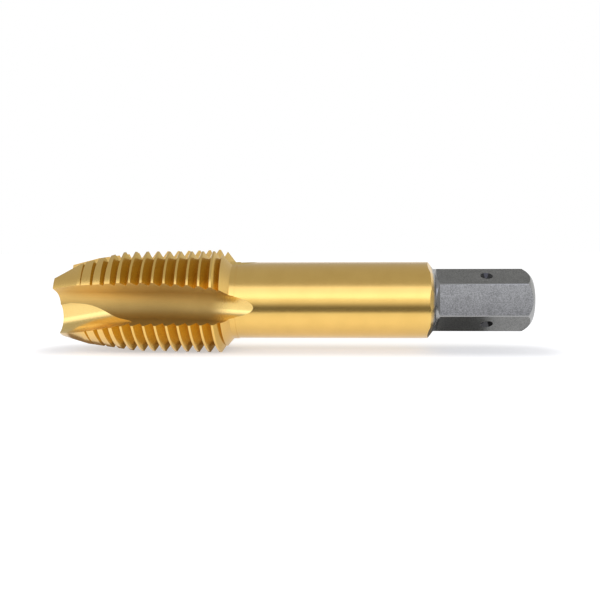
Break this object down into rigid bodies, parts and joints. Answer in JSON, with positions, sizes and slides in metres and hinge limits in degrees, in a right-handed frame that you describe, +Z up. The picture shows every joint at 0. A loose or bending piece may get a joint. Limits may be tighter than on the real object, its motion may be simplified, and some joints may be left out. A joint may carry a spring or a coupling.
{
  "type": "thread tap",
  "caption": "Right-hand spiral-point machine tap with straight flutes, a round shank and a hexagonal drive with detent dimples.",
  "frame": {"origin": "on the floor under the middle of the tap's length, with the tap lying on two lands", "axes": "+X along the tap's axis from the cutting tip to the drive, +Z up, -Y towards the front"},
  "size_m": [0.17, 0.0371, 0.0372],
  "materials": {
    "coated_steel": "ground high-speed steel with a gold nitride coating, bare and blasted matt on the hexagonal drive"
  },
  "bodies": {
    "root": {"thread_tap": "coated_steel"}
  },
  "joints": []
}
